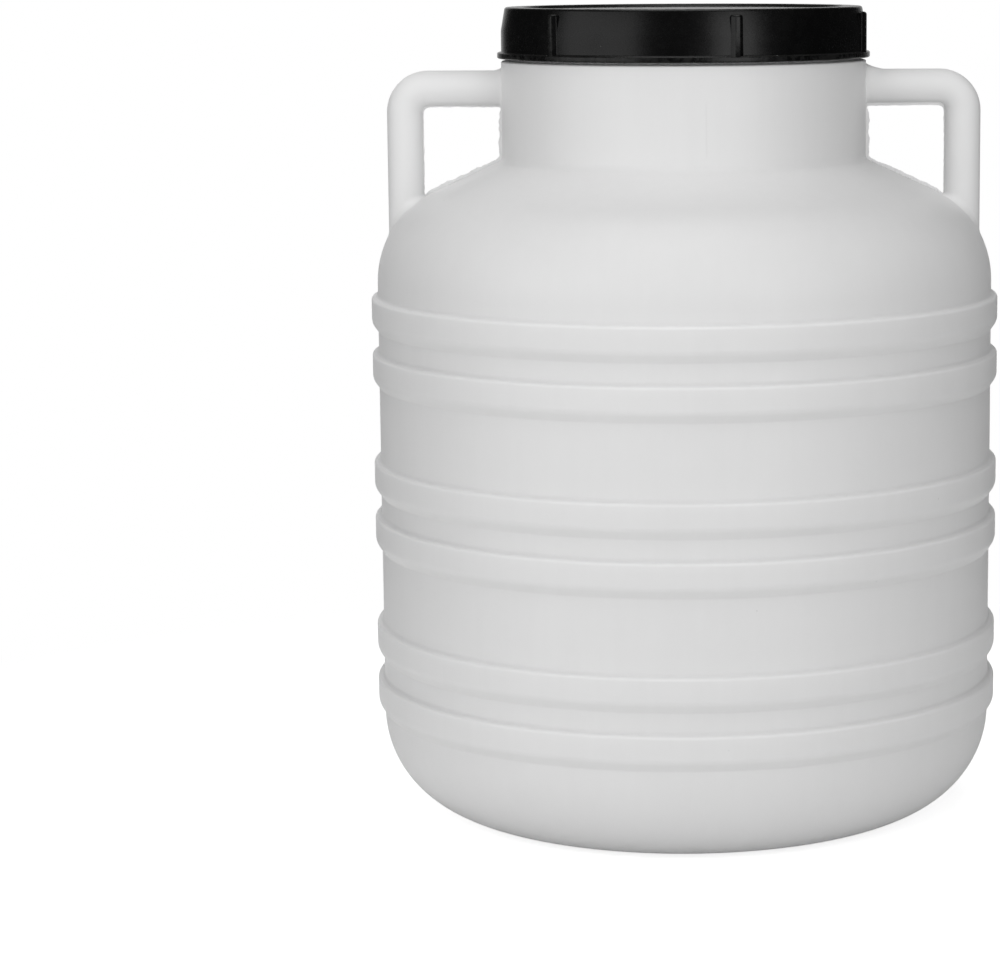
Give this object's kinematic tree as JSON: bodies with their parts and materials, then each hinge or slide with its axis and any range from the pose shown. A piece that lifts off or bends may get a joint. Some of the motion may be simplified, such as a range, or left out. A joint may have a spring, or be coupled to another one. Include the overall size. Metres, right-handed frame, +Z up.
{
  "type": "fermentation barrel",
  "caption": "Wide-neck blow-moulded fermentation barrel with paired hoop bands and hollow loop handles, closed by a ribbed black screw lid over a sealing gasket.",
  "frame": {"origin": "centre of the foot, on the surface that the barrel stands on", "axes": "+Z up along the barrel's axis, +X through the right-hand handle, +Y to the back"},
  "size_m": [0.34, 0.3398, 0.4395],
  "materials": {
    "barrel_plastic": "natural white polyethylene, satin moulded surface",
    "lid_plastic": "black injection-moulded plastic, satin with light dust",
    "gasket_rubber": "pale food-grade sealing rubber, matt"
  },
  "bodies": {
    "barrel": {"barrel_body": "barrel_plastic"},
    "seal": {"lid_gasket": "gasket_rubber"},
    "lid": {"screw_lid": "lid_plastic"}
  },
  "joints": [
    {"name": "lid_rise", "type": "slide", "parent": "barrel", "child": "seal", "axis": [0, 0, 1], "range_m": [0, 0.03]},
    {"name": "lid_turn", "type": "hinge", "parent": "seal", "child": "lid", "pos_m": [0, 0, 0.43], "axis": [0, 0, 1], "range_deg": [0, 1080]}
  ],
  "couplings": [
    {"joint": "lid_rise", "follows": "lid_turn", "m_per_rad": 0.0015915}
  ]
}
